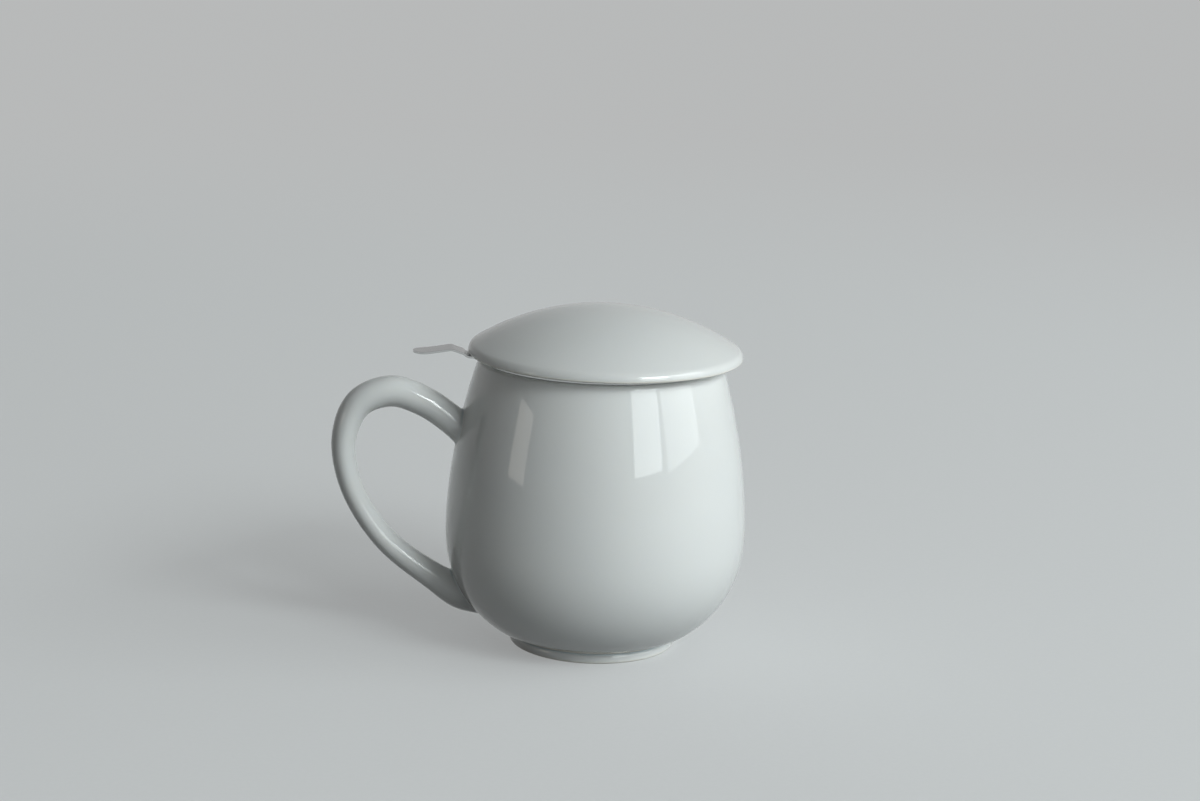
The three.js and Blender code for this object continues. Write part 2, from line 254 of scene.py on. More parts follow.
lip_radius = wall / 2
lip_lean = math.atan(shoulder_power * (body_radius - rim_radius) / (rim_height - widest_height))
lip_centre = (rim_radius + lip_radius * (math.tan(lip_lean) - 1 / math.cos(lip_lean)), rim_height - lip_radius)
lip_turn = math.degrees(lip_lean)
bead_centre = (foot_radius, bead_height)
outer_wall = [
    *bowl(body_radius, bowl_depth, bowl_power, bowl_start),
    *shoulder(body_radius, rim_radius, lip_centre[1] + lip_radius * math.sin(lip_lean)),
]
hollow_radius = body_radius - wall
mouth_radius = rim_radius - wall / math.cos(lip_lean)
hollow = [
    *bowl(hollow_radius, widest_height - hollow_floor, hollow_power, hollow_floor)[1:],
    *shoulder(hollow_radius, mouth_radius, lip_centre[1] - lip_radius * math.sin(lip_lean))[:-1],
]
body_profile = [
    (0, foot_recess),
    *bend((foot_inner_radius - 2 * mm, foot_recess), (foot_inner_radius, foot_recess),
          (foot_inner_radius, foot_edge)),
    *arc((foot_inner_radius + foot_edge, foot_edge), foot_edge, 180, 270, 6)[1:],
    *arc((foot_radius - foot_edge, foot_edge), foot_edge, -90, 0, 6),
    (foot_radius, bead_height - 3 * bead_radius),
    *bend((foot_radius - crease, bead_height - 2 * bead_radius), (foot_radius - crease, bead_height - bead_radius),
          (foot_radius, bead_height - bead_radius), 4),
    *arc(bead_centre, bead_radius, -75, 75, 12),
    *bend((foot_radius, bead_height + 1.4 * bead_radius), (foot_radius, groove_top),
          (foot_radius + bead_radius, groove_top), 4),
    *bend((outer_wall[0][0] - under_bend, groove_top + bead_radius), (outer_wall[0][0] - bead_radius, bowl_start),
          outer_wall[1])[:-1],
    *outer_wall[1:],
    *arc(lip_centre, lip_radius, lip_turn, 180 + lip_turn, 16)[1:],
    *reversed(hollow),
    (0, hollow_floor),
]
body = piece("porcelain_body", *turned(body_profile, body_axis), porcelain)
lay_glaze(body, bare_face=0)
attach(body, "mug")
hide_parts("mug_body")

# Handle: cast by itself in a two-part mould, trimmed, and luted to the damp body with slip. It is an ear that is
# thickest over its shoulder and slimmer below, and the wiped slip leaves a small fillet round both roots.
handle_reach = 33.81 * mm
handle_thickness = 9.7 * mm
handle_breadth = 10 * mm
root_fillet = 1.2 * mm
root_depth = 1 * mm
# Each station on the centre line is shares of the reach out from the widest circle, of the rim's height, of the
# thickness in the handle's own plane, and of the breadth across that plane.
handle_station_shares = [
    (-0.229, 0.71, 0.93, 1.05), (-0.037, 0.779, 0.89, 1.0), (0.21, 0.845, 0.9, 1.0), (0.487, 0.879, 0.93, 1.0),
    (0.759, 0.837, 0.86, 0.97), (0.886, 0.713, 0.74, 0.92), (0.814, 0.541, 0.68, 0.87), (0.522, 0.358, 0.71, 0.86),
    (0.071, 0.218, 0.85, 0.93), (-0.136, 0.172, 1.07, 1.04), (-0.368, 0.15, 1.11, 1.04),
]


def smooth_line(points, count):
    """Evenly shared samples of a centripetal Catmull-Rom curve through the points."""
    points = np.array(points, float)
    ends = np.vstack([2 * points[0] - points[1], points, 2 * points[-1] - points[-2]])
    gaps = np.sqrt(np.linalg.norm(np.diff(ends, axis=0), axis=1))
    samples = []
    for share in np.linspace(0, len(points) - 1, count + 1):
        span = min(int(share), len(points) - 2)
        t = share - span
        a, b, c, d = ends[span:span + 4]
        before, within, after = gaps[span:span + 3]
        leave = ((b - a) / before - (c - a) / (before + within) + (c - b) / within) * within
        arrive = ((c - b) / within - (d - b) / (within + after) + (d - c) / after) * within
        samples.append(b + leave * t + (3 * (c - b) - 2 * leave - arrive) * t ** 2
                       + (2 * (b - c) + leave + arrive) * t ** 3)
    return np.array(samples)


def wall_at(points):
    """How far points lie outside the body's outer wall, the wall's radius there, and its outward normal."""
    radii, heights = np.array(outer_wall).T
    slopes = np.gradient(radii, heights)
    flat = points[..., :2] - [body_axis, 0]
    distance = np.linalg.norm(flat, axis=-1)
    radius = np.interp(points[..., 2], heights, radii)
    lean = -np.interp(points[..., 2], heights, slopes)
    normal = np.concatenate([flat / distance[..., None], lean[..., None]], axis=-1)
    return distance - radius, radius, normal / np.linalg.norm(normal, axis=-1, keepdims=True)


def rooted(lines, steps=14):
    """Rings of a handle's half, from its middle to a root. Each line along the handle stops short of the wall, turns
    out along it in a fillet and then dips under the glaze."""
    travel = np.concatenate([np.zeros((1, lines.shape[1])),
                             np.cumsum(np.linalg.norm(np.diff(lines, axis=0), axis=2), axis=0)])
    outside = wall_at(lines)[0]
    sides = range(lines.shape[1])
    last = (outside <= 0).argmax(axis=0) - 1
    share = np.array([outside[last[s], s] / (outside[last[s], s] - outside[last[s] + 1, s]) for s in sides])
    meets = np.array([travel[last[s], s] + share[s] * (travel[last[s] + 1, s] - travel[last[s], s]) for s in sides])

    def along(distances):
        return np.array([[np.interp(distances[s], travel[:, s], lines[:, s, axis]) for axis in range(3)]
                         for s in sides])

    common = min(int(np.searchsorted(travel[:, s], meets[s] - root_fillet)) for s in sides) - 2
    rings = list(lines[:common + 1])
    starts = travel[common]
    for t in np.linspace(0, 1, steps + 1)[1:]:
        rings.append(along(starts + (meets - root_fillet - starts) * t))
    corner = along(meets)
    normal = wall_at(corner)[2]
    outwards = corner - corner.mean(axis=0)
    outwards -= (outwards * normal).sum(1, keepdims=True) * normal
    outwards /= np.linalg.norm(outwards, axis=1, keepdims=True)
    landing = corner + outwards * root_fillet
    distance, radius, normal = wall_at(landing)
    flat = landing[:, :2] - [body_axis, 0]
    landing[:, :2] = [body_axis, 0] + flat * (radius / (radius + distance))[:, None]
    start = rings[-1]
    for t in np.linspace(0, 1, 11)[1:]:
        rings.append(start * (1 - t) ** 2 + corner * 2 * t * (1 - t) + landing * t ** 2)
    rings.append(landing - normal * root_depth)
    return rings


stations = [(body_axis - body_radius - out * handle_reach, up * rim_height, thick * handle_thickness / 2,
             broad * handle_breadth / 2) for out, up, thick, broad in handle_station_shares]
centre_line = smooth_line(stations, 300)
runs = np.gradient(centre_line[:, :2], axis=0)
runs /= np.linalg.norm(runs, axis=1, keepdims=True)
handle_turns = np.linspace(0, 2 * math.pi, 64, endpoint=False)
across_plane = np.outer(centre_line[:, 3], np.sin(handle_turns))
in_plane = np.outer(centre_line[:, 2], np.cos(handle_turns))
handle_lines = np.stack([
    centre_line[:, :1] + in_plane * runs[:, 1:],
    across_plane,
    centre_line[:, 1:2] - in_plane * runs[:, :1],
], axis=2)
middle = len(handle_lines) // 2
handle_rings = [*reversed(rooted(handle_lines[middle::-1])), *rooted(handle_lines[middle:])[1:]]
handle_sides = len(handle_turns)
handle_faces = [
    (ring * handle_sides + side, ring * handle_sides + (side + 1) % handle_sides,
     (ring + 1) * handle_sides + (side + 1) % handle_sides, (ring + 1) * handle_sides + side)
    for ring in range(len(handle_rings) - 1) for side in range(handle_sides)
]
handle_faces.append(tuple(reversed(range(handle_sides))))
handle_faces.append(tuple(range((len(handle_rings) - 1) * handle_sides, len(handle_rings) * handle_sides)))
handle = piece("porcelain_handle", [tuple(point) for ring in handle_rings for point in ring], handle_faces, porcelain)
lay_glaze(handle)
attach(handle, "mug")
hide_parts("mug_handle")

# Infuser rim: a flat ring stamped with its thumb tab from one plate of stainless steel, then deburred and polished.
# The tab dips out from under the lid, is bent up in front of it, and falls away to a round tip that turns up.
rim_low, rim_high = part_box("infuser_rim")
plate = 0.6 * mm
rim_plate_radius = rim_high.x - body_axis
neck_inner_radius = 30.47 * mm
tab_width = 7.5 * mm
tab_length = 19 * mm
tab_rise = 2.2 * mm
tab_flare = 1.5 * mm
tab_bend_shares = [
    (0, 0), (0.15, 0.08), (0.24, 0.5), (0.34, 0.8), (0.43, 1), (0.56, 0.84), (0.71, 0.64), (0.87, 0.51), (1, 0.52),
]

# Polished stainless steel: 18/8 sheet, rolled and buffed. Fine lines left by the buffing run round the piece.
steel_colour = paint("#d2d3d3")
steel_dull_colour = paint("#bfc0c0")
buffing_line = 0.25 * mm


def steel_material(name, roughness_low, roughness_high, line_depth):
    """Stainless steel whose buffing lines run round the infuser's axis."""
    steel = new_material(name)
    here = node(steel, "TexCoord").outputs["Object"]
    from_axis = node(steel, "VectorMath", {0: here, 1: (body_axis, 0, 0)}, operation="SUBTRACT")
    part = node(steel, "SeparateXYZ", {0: from_axis.outputs[0]})
    angle = node(steel, "Math", {0: part.outputs[1], 1: part.outputs[0]}, operation="ARCTAN2")
    flat = node(steel, "VectorMath", {0: from_axis.outputs[0], 1: (1, 1, 0)}, operation="MULTIPLY")
    radius = node(steel, "VectorMath", {0: flat.outputs[0]}, operation="LENGTH")
    round_piece = node(steel, "CombineXYZ", {0: radius.outputs["Value"], 2: part.outputs[2]})
    lines_at = node(steel, "VectorMath", {0: round_piece.outputs[0], "Scale": 1 / buffing_line}, operation="SCALE")
    turned_at = node(steel, "CombineXYZ", {1: angle.outputs[0]})
    drawn_out = node(steel, "VectorMath", {0: turned_at.outputs[0], "Scale": 3.0}, operation="SCALE")
    lines_vector = node(steel, "VectorMath", {0: lines_at.outputs[0], 1: drawn_out.outputs[0]}, operation="ADD")
    lines = node(steel, "TexNoise", {"Vector": lines_vector.outputs[0], "Scale": 1.0, "Detail": 3})
    smudges = node(steel, "TexNoise", {"Vector": here, "Scale": 1 / (9 * mm), "Detail": 2})
    tone = node(steel, "Mix", {"Factor": smudges.outputs["Fac"], 6: steel_colour, 7: steel_dull_colour},
                data_type="RGBA")
    worn = node(steel, "Math", {0: lines.outputs["Fac"], 1: 0.5, 2: smudges.outputs["Fac"]}, operation="MULTIPLY_ADD")
    roughness = node(steel, "MapRange", {"Value": worn.outputs[0], 1: 0.4, 2: 1.1, 3: roughness_low,
                                         4: roughness_high})
    buffed = node(steel, "Bump", {"Height": lines.outputs["Fac"], "Strength": 1, "Distance": line_depth})
    sheet_steel = node(steel, "BsdfPrincipled", {
        "Base Color": tone.outputs[2], "Metallic": 1.0, "Roughness": roughness.outputs[0],
        "Normal": buffed.outputs["Normal"]})
    node(steel, "OutputMaterial", {"Surface": sheet_steel.outputs["BSDF"]})
    return steel


def sheet_metal(name, points, faces, thickness, material, offset=0, burr=0):
    """A piece bent from sheet: a surface given the sheet's thickness, with its cut edges rounded over."""
    thin = piece(name, points, faces, material)
    solid = thin.modifiers.new("sheet", "SOLIDIFY")
    solid.thickness = thickness
    solid.offset = offset
    solid.use_even_offset = True
    if burr:
        edge = thin.modifiers.new("deburred", "BEVEL")
        edge.width = burr
        edge.segments = 4
        edge.limit_method = "ANGLE"
        edge.angle_limit = math.radians(60)
    bpy.context.view_layer.update()
    made = bpy.data.meshes.new_from_object(thin.evaluated_get(bpy.context.evaluated_depsgraph_get()))
    thin.modifiers.clear()
    thin.data = made
    made.set_sharp_from_angle(angle=math.radians(25))
    return thin


polished_steel = steel_material("polished stainless steel", 0.13, 0.2, 0.0006 * mm)
tab_line = smooth_line(tab_bend_shares, 160)
tab_columns = np.linspace(-1, 1, 17)
tab_reach = np.concatenate([np.linspace(0, tab_length - tab_width / 2, 60),
                            tab_length - tab_width / 2 * (1 - np.sin(np.linspace(0, math.pi / 2, 16)[1:]))])
root_half_width = tab_width / 2 + tab_flare
rim_middle = rim_low.z + plate / 2


def tab_half_width(reach):
    """Half the tab's width, which flares into the ring at its root and ends in a half circle."""
    if reach < tab_flare:
        return tab_width / 2 + tab_flare - math.sqrt(tab_flare ** 2 - (tab_flare - reach) ** 2)
    short = max(0, reach - (tab_length - tab_width / 2)) / (tab_width / 2)
    return max(tab_width / 2 * math.sqrt(max(0, 1 - short ** 2)), plate / 4)


tab_angles = math.pi - np.arcsin(tab_columns * root_half_width / rim_plate_radius)
free_angles = np.linspace(tab_angles[0] - 2 * math.pi, tab_angles[-1], 241)[1:-1]
ring_angles = [*free_angles, *tab_angles[::-1]]
rim_points, rim_faces = [], []
plate_bands = 6
for radius in np.linspace(neck_inner_radius, rim_plate_radius, plate_bands + 1):
    for angle in ring_angles:
        rim_points.append((body_axis + radius * math.cos(angle), radius * math.sin(angle), rim_middle))
around = len(ring_angles)
for plate_band in range(plate_bands):
    inner, outer = plate_band * around, (plate_band + 1) * around
    for side in range(around):
        after = (side + 1) % around
        rim_faces.append((inner + side, outer + side, outer + after, inner + after))
root_row = [plate_bands * around + len(free_angles) + place for place in range(len(tab_angles))]
previous = root_row
for reach in tab_reach[1:]:
    row = []
    for column in tab_columns:
        y = column * tab_half_width(reach)
        sagitta = rim_plate_radius - math.sqrt(rim_plate_radius ** 2 - y ** 2)
        bow = sagitta * max(0, 1 - reach / (2 * tab_flare)) ** 2
        lift = np.interp(reach / tab_length, tab_line[:, 0], tab_line[:, 1]) * tab_rise
        row.append(len(rim_points))
        rim_points.append((body_axis - rim_plate_radius - reach + bow, -y, rim_middle + lift))
    for place in range(len(row) - 1):
        rim_faces.append((previous[place], row[place], row[place + 1], previous[place + 1]))
    previous = row
rim = sheet_metal("steel_rim_and_tab", rim_points, rim_faces, plate, polished_steel, burr=0.25 * mm)
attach(rim, "infuser")
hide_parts("infuser_rim")

# Neck band: a plain strip of the same steel, rolled round, butt-welded and welded under the rim. It passes through
# the mouth and holds the filter's top edge with a row of spot welds.
band_low, band_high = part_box("infuser_neck_band")
sheet = 0.5 * mm
band_edge = 0.12 * mm
band_radius = neck_inner_radius + sheet
edge_in, edge_out = neck_inner_radius + band_edge, band_radius - band_edge
edge_low, edge_high = band_low.z + band_edge, band_high.z - band_edge
band_profile = [
    *arc((edge_in, edge_low), band_edge, 180, 270, 3), *arc((edge_out, edge_low), band_edge, 270, 360, 3),
    *arc((edge_out, edge_high), band_edge, 0, 90, 3), *arc((edge_in, edge_high), band_edge, 90, 180, 3),
]
band = piece("steel_neck_band", *turned(band_profile, body_axis), polished_steel, sharp_angle=25)
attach(band, "infuser")
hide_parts("infuser_neck_band")

# Spot welds: twenty small round marks that the electrodes left in the neck band's steel, where it is joined to the
# filter's top edge. Each stands a little proud, with a hollow in its middle.
weld_count = 20
weld_sides = 16
weld_radius = 0.75 * mm
weld_rise = 0.07 * mm
weld_root = 0.1 * mm
weld_height = band_low.z + 1.75 * mm
weld_profile = [
    (1, -weld_root), (1, 0.3 * weld_rise), (0.85, 0.8 * weld_rise), (0.6, 0.6 * weld_rise), (0.3, 0.4 * weld_rise),
]
mark_points, mark_faces = [], []
for turn in np.linspace(math.pi / weld_count, 2 * math.pi + math.pi / weld_count, weld_count, endpoint=False):
    first = len(mark_points)
    last = first + (len(weld_profile) - 1) * weld_sides
    for share, rise in weld_profile:
        for way in np.linspace(0, 2 * math.pi, weld_sides, endpoint=False):
            along = turn + share * weld_radius * math.cos(way) / band_radius
            radius = band_radius + rise
            mark_points.append((body_axis + radius * math.cos(along), radius * math.sin(along),
                                weld_height + share * weld_radius * math.sin(way)))
    for ring in range(first, last, weld_sides):
        for side in range(weld_sides):
            after = (side + 1) % weld_sides
            mark_faces.append((ring + side, ring + after, ring + weld_sides + after, ring + weld_sides + side))
    mark_faces.append(tuple(last + side for side in range(weld_sides)))
    mark_faces.append(tuple(first + side for side in reversed(range(weld_sides))))
spot_welds = piece("steel_spot_welds", mark_points, mark_faces, polished_steel)
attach(spot_welds, "infuser")

# Filter wall: perforated stainless sheet rolled into a slightly tapered tube and seam-welded along a plain strip on
# the side away from the tab. The holes are punched in staggered rows.
filter_low, filter_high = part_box("infuser_filter_wall")
filter_top_radius = 30.32 * mm
filter_taper = 2 * mm
hole_radius = 0.75 * mm
hole_pitch = 2.9 * mm
hole_border = 4.6 * mm
plain_reach = 0.8 * hole_pitch
filter_columns = round(2 * math.pi * (filter_top_radius - filter_taper / 2) / hole_pitch)
satin_steel = steel_material("satin stainless steel", 0.24, 0.34, 0.0012 * mm)


def filter_radius(height):
    """The filter wall's outer radius, which narrows evenly to its lower edge."""
    return filter_top_radius - filter_taper * (filter_high.z - height) / (filter_high.z - filter_low.z)


def weld_points(points, faces, reach=0.01 * mm):
    """Merges points that lie in the same place."""
    keys, kept, index = {}, [], []
    for point in points:
        key = tuple(round(value / reach) for value in point)
        if key not in keys:
            keys[key] = len(kept)
            kept.append(point)
        index.append(keys[key])
    return kept, [tuple(index[corner] for corner in face) for face in faces]


wall_points, wall_faces = [], []
holes_low = filter_low.z + hole_border
holes_high = filter_high.z - hole_border
row_count = round((holes_high - holes_low) / (hole_pitch * math.sin(math.pi / 3)))
row_height = (holes_high - holes_low) / row_count
quarter = 2 * math.pi / filter_columns / 4
border_places = [(2, 0), (2, 1), (1, 1), (0, 1), (-1, 1), (-2, 1), (-2, 0), (-2, -1), (-1, -1), (0, -1), (1, -1),
                 (2, -1)]
corners = len(border_places)


def on_filter(turn, height):
    """The point of the filter's outer face at an angle and a height."""
    return (body_axis + filter_radius(height) * math.cos(turn), filter_radius(height) * math.sin(turn), height)


for row in range(row_count):
    height = holes_low + row_height * (row + 0.5)
    for column in range(filter_columns):
        turn = quarter * (4 * column + 2 * (row % 2))
        from_seam = abs((turn + math.pi) % (2 * math.pi) - math.pi) * filter_top_radius
        first = len(wall_points)
        wall_points += [on_filter(turn + quarter * x, height + row_height / 2 * y) for x, y in border_places]
        if from_seam < plain_reach:
            wall_points.append(on_filter(turn, height))
            wall_faces += [(first + corners, first + place, first + (place + 1) % corners)
                           for place in range(corners)]
            continue
        radius = filter_radius(height)
        for x, y in border_places:
            direction = math.atan2(row_height / 2 * y, quarter * x * radius)
            wall_points.append(on_filter(turn + hole_radius * math.cos(direction) / radius,
                                         height + hole_radius * math.sin(direction)))
        for place in range(corners):
            after = (place + 1) % corners
            wall_faces.append((first + place, first + after, first + corners + after, first + corners + place))
for low, high in ((filter_low.z, holes_low), (holes_high, filter_high.z)):
    levels = np.linspace(low, high, 4)
    for lower, upper in zip(levels, levels[1:]):
        for step in range(4 * filter_columns):
            first = len(wall_points)
            wall_points += [on_filter(quarter * step, lower), on_filter(quarter * (step + 1), lower),
                            on_filter(quarter * (step + 1), upper), on_filter(quarter * step, upper)]
            wall_faces.append((first, first + 1, first + 2, first + 3))
filter_wall = sheet_metal("steel_filter_wall", *weld_points(wall_points, wall_faces), sheet, satin_steel,
                          offset=-1)
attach(filter_wall, "infuser")
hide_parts("infuser_filter_wall")

# Seam weld: a fine flattened bead of the filter's own steel, melted where the edges of its rolled sheet meet. It runs
# down the middle of the plain strip, from under the neck band to the lower edge.
seam_half_width = 0.45 * mm
seam_rise = 0.09 * mm
seam_swell = 0.12
seam_beat = 2.1
seam_top = band_low.z - 0.3 * mm
seam_section = [(1, -1), (0.9, 0.4), (0.5, 0.9), (0, 1), (-0.5, 0.9), (-0.9, 0.4), (-1, -1)]
seam_points, seam_faces = [], []
seam_levels = np.linspace(filter_low.z, seam_top, 90)
for level, height in enumerate(seam_levels):
    swell = 1 + seam_swell * math.sin(level * seam_beat)
    for side, rise in seam_section:
        radius = filter_radius(height) + rise * seam_rise * swell
        turn = side * seam_half_width * swell / radius
        seam_points.append((body_axis + radius * math.cos(turn), radius * math.sin(turn), height))
section_count = len(seam_section)
last = (len(seam_levels) - 1) * section_count
for lower in range(0, last, section_count):
    upper = lower + section_count
    for side in range(section_count):
        after = (side + 1) % section_count
        seam_faces.append((lower + after, lower + side, upper + side, upper + after))
seam_faces.append(tuple(range(section_count)))
seam_faces.append(tuple(last + side for side in reversed(range(section_count))))
seam_weld = piece("steel_seam_weld", seam_points, seam_faces, satin_steel)
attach(seam_weld, "infuser")

# Base ring: a channel pressed from steel strip that closes the basket's lower edge. It wraps the wall outside and
# carries the base on its lip.
ring_low, ring_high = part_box("infuser_base_ring")
weld_gap = 0.15 * mm
base_lip = 4 * mm
ring_inner_low = filter_radius(ring_low.z) + weld_gap
ring_inner_high = filter_radius(ring_high.z) + weld_gap
lip_inner = ring_inner_low - base_lip
ring_profile = [
    *arc((lip_inner + sheet / 2, ring_low.z + sheet / 2), sheet / 2, 90, 270, 6),
    *arc((ring_inner_low, ring_low.z + sheet), sheet, -90, 0, 8),
    *arc((ring_inner_high + sheet / 2, ring_high.z - sheet / 2), sheet / 2, 0, 180, 6),
    (filter_radius(ring_low.z + sheet) + weld_gap, ring_low.z + sheet),
]
base_ring = piece("steel_base_ring", *turned(ring_profile, body_axis), polished_steel)
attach(base_ring, "infuser")
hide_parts("infuser_base_ring")

# Filter base: a disc of the same perforated sheet, with its holes in a honeycomb pattern inside a plain border that
# lies on the base ring's lip.
base_low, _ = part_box("infuser_filter_base")
base_radius = filter_radius(filter_low.z) - sheet - weld_gap
holes_reach = ring_inner_low - base_lip - hole_radius - 0.4 * mm
hole_sides = 12
filling_reach = 0.96 * hole_radius
outline = [(base_radius * math.cos(turn), base_radius * math.sin(turn))
           for turn in np.linspace(0, 2 * math.pi, 192, endpoint=False)]
borders = [outline]
rows = int(holes_reach / hole_pitch) + 2
for row in range(-rows, rows + 1):
    for place in range(-2 * rows, 2 * rows + 1):
        x = hole_pitch * (place + row / 2)
        y = hole_pitch * row * math.sin(math.pi / 3)
        if math.hypot(x, y) < holes_reach:
            borders.append([(x + hole_radius * math.cos(turn), y + hole_radius * math.sin(turn))
                            for turn in np.linspace(0, 2 * math.pi, hole_sides, endpoint=False)])
flat_points, flat_edges = [], []
for border in borders:
    first = len(flat_points)
    flat_points += [Vector(point) for point in border]
    flat_edges += [(first + place, first + (place + 1) % len(border)) for place in range(len(border))]
cut_points, _, cut_faces, *_ = delaunay_2d_cdt(flat_points, flat_edges, [], 0, 1e-7)
centres = [Vector((sum(point[0] for point in border) / hole_sides, sum(point[1] for point in border) / hole_sides))
           for border in borders[1:]]
kept_faces = []
for face in cut_faces:
    middle_of_face = sum((cut_points[corner] for corner in face), Vector((0, 0))) / len(face)
    if middle_of_face.length < base_radius and all((middle_of_face - centre).length > filling_reach
                                                   for centre in centres):
        kept_faces.append(tuple(face))
base = sheet_metal("steel_filter_base", [(body_axis + point.x, point.y, base_low.z) for point in cut_points],
                   kept_faces, sheet, satin_steel, offset=1)
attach(base, "infuser")
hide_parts("infuser_filter_base")

# Lid: one porcelain casting, glazed all over but for the edge of the ring under it, on which it stood in the kiln.
# Its dome is part of a sphere, rolled over at the edge into a flat underside that rests on the steel rim.
lid_low, lid_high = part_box("lid")
lid_axis = (lid_low.x + lid_high.x) / 2
lid_radius = (lid_high.x - lid_low.x) / 2
locating_height = 4.5 * mm
locating_width = 2.5 * mm
locating_radius = 28.77 * mm
locating_fillet = 1.2 * mm
dome_radius = 72 * mm
lid_shoulder = 3 * mm
lid_edge = 3.4 * mm
lid_wall = 4 * mm
lid_seat = lid_low.z + locating_height
dome_centre = lid_high.z - dome_radius
shoulder_r = lid_radius - lid_shoulder
shoulder_z = dome_centre + math.sqrt((dome_radius - lid_shoulder) ** 2 - shoulder_r ** 2)
dome_turn = math.degrees(math.atan2(shoulder_z - dome_centre, shoulder_r))
under_dome = dome_radius - lid_wall
hollow_r = locating_radius - locating_width
hollow_turn = math.degrees(math.acos((hollow_r - locating_fillet) / under_dome))
under_end = arc((0, dome_centre), under_dome, 90, hollow_turn, 24)
lid_profile = [
    (0, dome_centre + under_dome),
    *under_end[1:],
    *bend(under_end[-1], (hollow_r, under_end[-1][1] - 0.3 * mm), (hollow_r, under_end[-1][1] - locating_fillet),
          6)[1:],
    *arc((locating_radius - locating_width / 2, lid_low.z + locating_width / 2), locating_width / 2, 180, 360, 12),
    *bend((locating_radius, lid_seat - locating_fillet), (locating_radius, lid_seat),
          (locating_radius + locating_fillet, lid_seat)),
    *bend((lid_radius - lid_edge, lid_seat), (lid_radius, lid_seat), (lid_radius, shoulder_z), 10),
    *arc((shoulder_r, shoulder_z), lid_shoulder, 0, dome_turn, 16)[1:],
    *arc((0, dome_centre), dome_radius, dome_turn, 90, 60)[1:-1],
    (0, lid_high.z),
]
lid = piece("porcelain_lid", *turned(lid_profile, lid_axis), porcelain)
lay_glaze(lid, bare_face=lid_low.z)
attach(lid, "lid")
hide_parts("lid")

# Table: a plain matt sheet of paper that reaches far enough to fill the view from every side. It is pale where it is
# seen directly or in a reflection, keeps the mug's shadow, throws only a little light back up, and goes over into an
# even pale distance.
table_radius = 8.0
shadow_reach = 0.45
even_from = 1.3
paper_colour = paint("#b2b4b5")
paper_second_colour = paint("#b6b8b9")
bounce_colour = paint("#5c5f60")
glow_colour = paint("#f6f8f8")
near_glow = 0.28
far_glow = 0.52
table_paper = new_material("matt pale paper")
table_place = node(table_paper, "TexCoord").outputs["Object"]
fibres = node(table_paper, "TexNoise", {"Vector": table_place, "Scale": 1 / (1.5 * mm), "Detail": 2})
paper_tone = node(table_paper, "Mix", {"Factor": fibres.outputs["Fac"], 6: paper_colour, 7: paper_second_colour},
                  data_type="RGBA")
ray = node(table_paper, "LightPath")
seen = node(table_paper, "Math", {0: ray.outputs["Is Camera Ray"], 1: ray.outputs["Is Glossy Ray"]}, operation="ADD")
seen_tone = node(table_paper, "Mix", {"Factor": seen.outputs[0], 6: bounce_colour, 7: paper_tone.outputs[2]},
                 data_type="RGBA")
paper = node(table_paper, "BsdfPrincipled", {"Base Color": seen_tone.outputs[2], "Roughness": 0.8,
                                             "Specular IOR Level": 0.1})
pale = node(table_paper, "Math", {0: seen.outputs[0], 1: near_glow}, operation="MULTIPLY")
glow = node(table_paper, "Emission", {"Color": glow_colour, "Strength": pale.outputs[0]})
near_paper = node(table_paper, "AddShader", {0: paper.outputs["BSDF"], 1: glow.outputs[0]})
distance_pale = node(table_paper, "Math", {0: seen.outputs[0], 1: far_glow}, operation="MULTIPLY")
far_paper = node(table_paper, "Emission", {"Color": glow_colour, "Strength": distance_pale.outputs[0]})
from_mug = node(table_paper, "VectorMath", {0: table_place}, operation="LENGTH")
far_share = node(table_paper, "MapRange", {"Value": from_mug.outputs["Value"], 1: shadow_reach, 2: even_from},
                 interpolation_type="SMOOTHSTEP")
whole_paper = node(table_paper, "MixShader", {0: far_share.outputs[0], 1: near_paper.outputs[0],
                                              2: far_paper.outputs[0]})
node(table_paper, "OutputMaterial", {"Surface": whole_paper.outputs[0]})
table = piece("table", [(table_radius * math.cos(turn), table_radius * math.sin(turn), 0)
                        for turn in np.linspace(0, 2 * math.pi, 128, endpoint=False)], [tuple(range(128))],
              table_paper)

# Camera: at the photograph's viewing angle, found from the outlines of the lid, the body and the foot. Its picture
# is taken as 1200 pixels wide.
picture_width = 1200
focal_pixels = 2600
camera_turn = math.radians(-6)
camera_elevation = math.radians(12.85)
camera_distance = 757.2 * mm
camera_roll = math.radians(2.037)
aim_side = 0.12 * mm
aim_height = 72.47 * mm
level_right = Vector((math.cos(camera_turn), math.sin(camera_turn), 0))
level_back = Vector((math.sin(camera_turn) * math.cos(camera_elevation),
                     -math.cos(camera_turn) * math.cos(camera_elevation), math.sin(camera_elevation)))
level_up = level_back.cross(level_right)
picture_right = level_right * math.cos(camera_roll) + level_up * math.sin(camera_roll)
picture_up = level_back.cross(picture_right)
camera_data = bpy.data.cameras.new("camera")
camera_data.sensor_width = 36
camera_data.lens = camera_data.sensor_width * focal_pixels / picture_width
camera = bpy.data.objects.new("camera", camera_data)
aim = Vector((body_axis, 0, aim_height)) + level_right * aim_side
camera_turned = Matrix((picture_right, picture_up, level_back)).transposed().to_4x4()
camera.matrix_world = Matrix.Translation(aim + level_back * camera_distance) @ camera_turned
bpy.context.scene.collection.objects.link(camera)
bpy.context.scene.camera = camera

# Light: a tall soft window on the right in two panels with a bar between them, brighter towards its top, dimmer walls
# on both its sides and behind, a small dim pane on the left and a room that grows dim towards its ceiling.
lamp_distance = 2.5
cool_light = paint("#f8ffff")
warm_light = paint("#fff8ee")


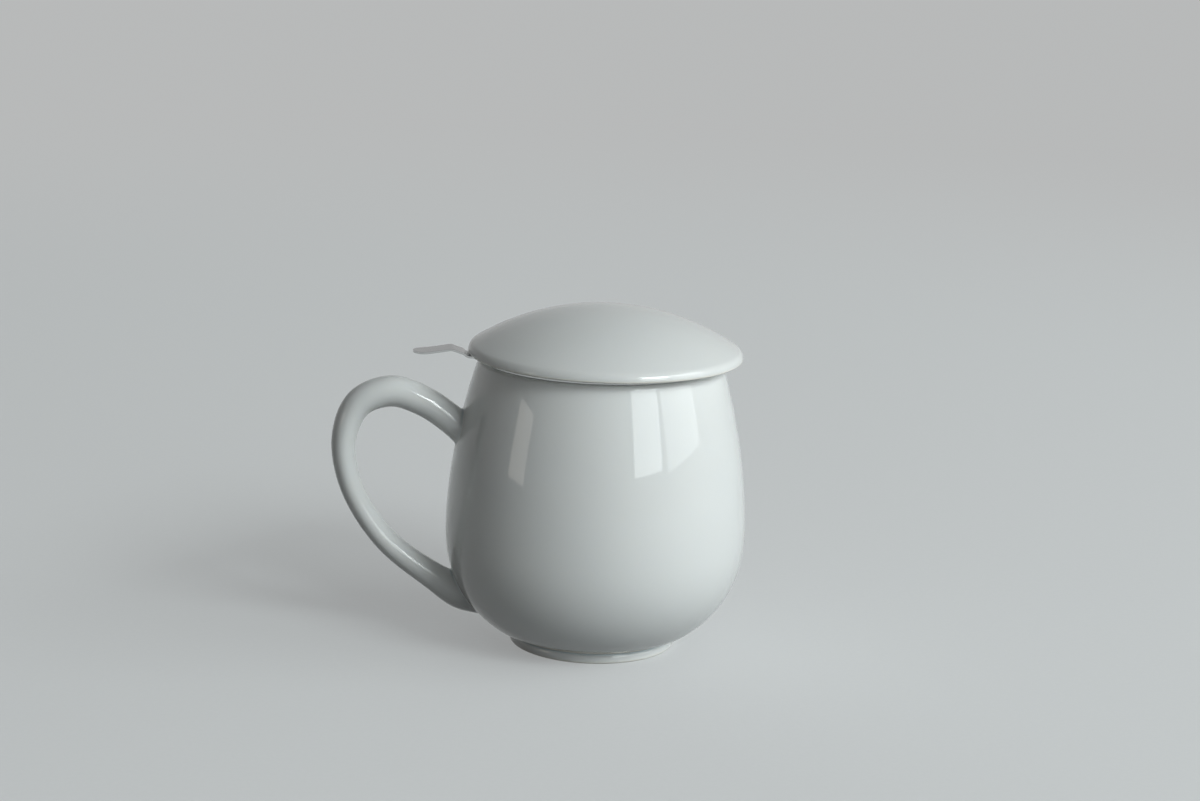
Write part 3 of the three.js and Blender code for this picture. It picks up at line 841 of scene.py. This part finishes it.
def panel(name, from_azimuth, to_azimuth, from_elevation, to_elevation, radiance, tint=cool_light, mirrored=True):
    """A rectangular lamp that faces the mug and fills the given angles. Azimuth 0 is the camera's side and 90 is the
    right."""
    turn = math.radians((from_azimuth + to_azimuth) / 2)
    rise = math.radians((from_elevation + to_elevation) / 2)
    lamp = bpy.data.lights.new(name, "AREA")
    lamp.shape = "RECTANGLE"
    lamp.size = 2 * lamp_distance * math.tan(math.radians(to_azimuth - from_azimuth) / 2) * math.cos(rise)
    lamp.size_y = 2 * lamp_distance * math.tan(math.radians(to_elevation - from_elevation) / 2)
    lamp.energy = radiance * math.pi * lamp.size * lamp.size_y
    lamp.color = tint[:3]
    away = Vector((math.sin(turn) * math.cos(rise), -math.cos(turn) * math.cos(rise), math.sin(rise)))
    made = bpy.data.objects.new(name, lamp)
    made.location = Vector((body_axis, 0, 50 * mm)) + away * lamp_distance
    made.rotation_mode = "QUATERNION"
    made.rotation_quaternion = away.to_track_quat("Z", "Y")
    made.visible_glossy = mirrored
    bpy.context.scene.collection.objects.link(made)


panel("front_wall", 2, 23, 6, 40, 1.0, mirrored=False)
panel("window_near", 23, 47, 5, 25, 3.1)
panel("window_near_top", 27, 53, 25, 41, 12.4)
panel("window_far", 51, 86, 4, 25, 1.7)
panel("window_far_top", 57, 90, 25, 41, 4.7)
panel("right_wall", 86, 110, 4, 40, 1.1, mirrored=False)
panel("side_wall", 110, 150, 4, 30, 0.9, mirrored=False)
panel("back_wall", 155, 215, 4, 28, 1.5, mirrored=False)
panel("left_wall", -145, -110, 4, 28, 0.3, mirrored=False)
panel("left_pane", -79, -64, 0.5, 13, 1.4, warm_light)
room_colour = paint("#f7f8f8")
room_fill = 0.033
pale_strength, pale_height = 0.55, 0.05
dim_strength, dim_height = 0.2, 0.75
room = bpy.data.worlds.new("room")
room.use_nodes = True
room.node_tree.nodes.clear()
room_ray = node(room, "LightPath")
room_seen = node(room, "Math", {0: room_ray.outputs["Is Camera Ray"], 1: room_ray.outputs["Is Glossy Ray"]},
                 operation="ADD")
room_height = node(room, "SeparateXYZ", {"Vector": node(room, "TexCoord").outputs["Generated"]})
room_pale = node(room, "MapRange", {"Value": room_height.outputs["Z"], 1: pale_height, 2: dim_height,
                                    3: pale_strength, 4: dim_strength})
room_strength = node(room, "Mix", {"Factor": room_seen.outputs[0], 2: room_fill, 3: room_pale.outputs[0]})
room_light = node(room, "Background", {"Color": room_colour, "Strength": room_strength.outputs[0]})
node(room, "OutputWorld", {"Surface": room_light.outputs[0]})
bpy.context.scene.world = room
bpy.context.scene.view_settings.view_transform = "Standard"
